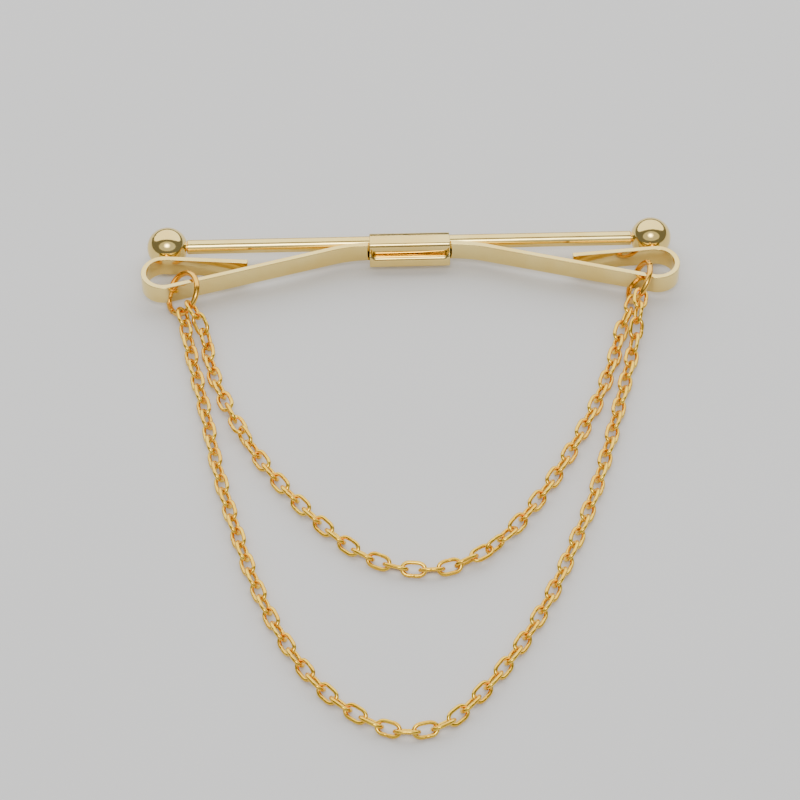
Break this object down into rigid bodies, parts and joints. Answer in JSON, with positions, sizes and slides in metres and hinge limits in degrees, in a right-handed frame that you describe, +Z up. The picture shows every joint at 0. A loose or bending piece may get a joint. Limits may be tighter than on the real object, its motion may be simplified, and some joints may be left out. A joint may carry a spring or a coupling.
{
  "type": "collar bar",
  "caption": "Clip-on collar bar: a ball-ended rod with a flat spring strip clasped to it, and two loops of oval cable chain hanging from jump rings on the strip.",
  "frame": {"origin": "middle of the underside of the whole part as it lies on a table, on the table", "axes": "+X along the rod to the right, +Y from the chains towards the rod, +Z up from the table"},
  "size_m": [0.0614, 0.0716, 0.0049],
  "materials": {
    "bar_gold": "polished pale champagne-gold plating",
    "ring_gold": "polished warm coppery-gold plating",
    "chain_gold": "polished yellow-gold plating"
  },
  "bodies": {
    "bar": {"bar_rod": "bar_gold", "left_ball": "bar_gold", "right_ball": "bar_gold", "sleeve": "bar_gold", "spring_centre": "bar_gold"},
    "left_arm": {"left_spring_arm": "bar_gold"},
    "right_arm": {"right_spring_arm": "bar_gold"},
    "left_ring_body": {"left_ring": "ring_gold"},
    "right_ring_body": {"right_ring": "ring_gold"},
    "outer_left_upper": {"outer_left_end_link": "chain_gold", "outer_left_upper_links": "chain_gold"},
    "outer_left_lower": {"outer_left_lower_links": "chain_gold"},
    "outer_bow": {"outer_bow_links": "chain_gold"},
    "outer_right_upper": {"outer_right_end_link": "chain_gold", "outer_right_upper_links": "chain_gold"},
    "outer_right_lower": {"outer_right_lower_links": "chain_gold"},
    "inner_left": {"inner_left_end_link": "chain_gold", "inner_left_links": "chain_gold"},
    "inner_bow": {"inner_bow_links": "chain_gold"},
    "inner_right": {"inner_right_end_link": "chain_gold", "inner_right_links": "chain_gold"}
  },
  "joints": [
    {"name": "left_arm_flex", "type": "hinge", "parent": "bar", "child": "left_arm", "pos_m": [-0.00462, 0.03224, 0.00233], "axis": [0, 0, 1], "range_deg": [0, 2], "stiffness_Nm_per_rad": 0.2},
    {"name": "right_arm_flex", "type": "hinge", "parent": "bar", "child": "right_arm", "pos_m": [0.00462, 0.03224, 0.00233], "axis": [0, 0, -1], "range_deg": [0, 2], "stiffness_Nm_per_rad": 0.2},
    {"name": "left_ring_swing", "type": "hinge", "parent": "bar", "child": "left_ring_body", "pos_m": [-0.02595, 0.02647, 0.00213], "axis": [1, 0, 0], "range_deg": [-7, 90]},
    {"name": "right_ring_swing", "type": "hinge", "parent": "bar", "child": "right_ring_body", "pos_m": [0.02595, 0.02647, 0.00213], "axis": [1, 0, 0], "range_deg": [-7, 90]},
    {"name": "outer_left_hook", "type": "hinge", "parent": "left_ring_body", "child": "outer_left_upper", "pos_m": [-0.02602, 0.02406, 0.00126], "axis": [0.9995, -0.0029, 0.0317], "range_deg": [-14, 10]},
    {"name": "outer_right_hook", "type": "hinge", "parent": "right_ring_body", "child": "outer_right_upper", "pos_m": [0.02593, 0.02391, 0.00291], "axis": [0.9995, -0.0029, 0.0317], "range_deg": [-14, 10]},
    {"name": "outer_left_fold", "type": "hinge", "parent": "outer_left_upper", "child": "outer_left_lower", "pos_m": [-0.02268, 0.00535, 0.00079], "axis": [1, 0.0081, 0.0003], "range_deg": [-30, 30]},
    {"name": "outer_right_fold", "type": "hinge", "parent": "outer_right_upper", "child": "outer_right_lower", "pos_m": [0.02163, 0.00571, 0.0008], "axis": [1, 0.0081, 0.0003], "range_deg": [-30, 30]},
    {"name": "outer_bow_fold", "type": "hinge", "parent": "outer_left_lower", "child": "outer_bow", "pos_m": [-0.01779, -0.0154, 0.00078], "axis": [0.9996, 0.0288, 0.0002], "range_deg": [-26, 30]},
    {"name": "inner_left_hook", "type": "hinge", "parent": "left_ring_body", "child": "inner_left", "pos_m": [-0.02503, 0.02406, 0.00237], "axis": [0.9999, 0.0016, -0.0152], "range_deg": [-14, 16]},
    {"name": "inner_right_hook", "type": "hinge", "parent": "right_ring_body", "child": "inner_right", "pos_m": [0.02526, 0.02414, 0.00161], "axis": [0.9999, 0.0016, -0.0152], "range_deg": [-14, 16]},
    {"name": "inner_bow_fold", "type": "hinge", "parent": "inner_left", "child": "inner_bow", "pos_m": [-0.01931, 0.00632, 0.00093], "axis": [1, 0.0024, -0.0033], "range_deg": [-18, 25]}
  ],
  "couplings": [
    {"joint": "right_ring_swing", "follows": "left_ring_swing", "ratio": 1},
    {"joint": "outer_right_hook", "follows": "outer_left_hook", "ratio": 1},
    {"joint": "outer_right_fold", "follows": "outer_left_fold", "ratio": 1},
    {"joint": "inner_right_hook", "follows": "inner_left_hook", "ratio": 1}
  ]
}
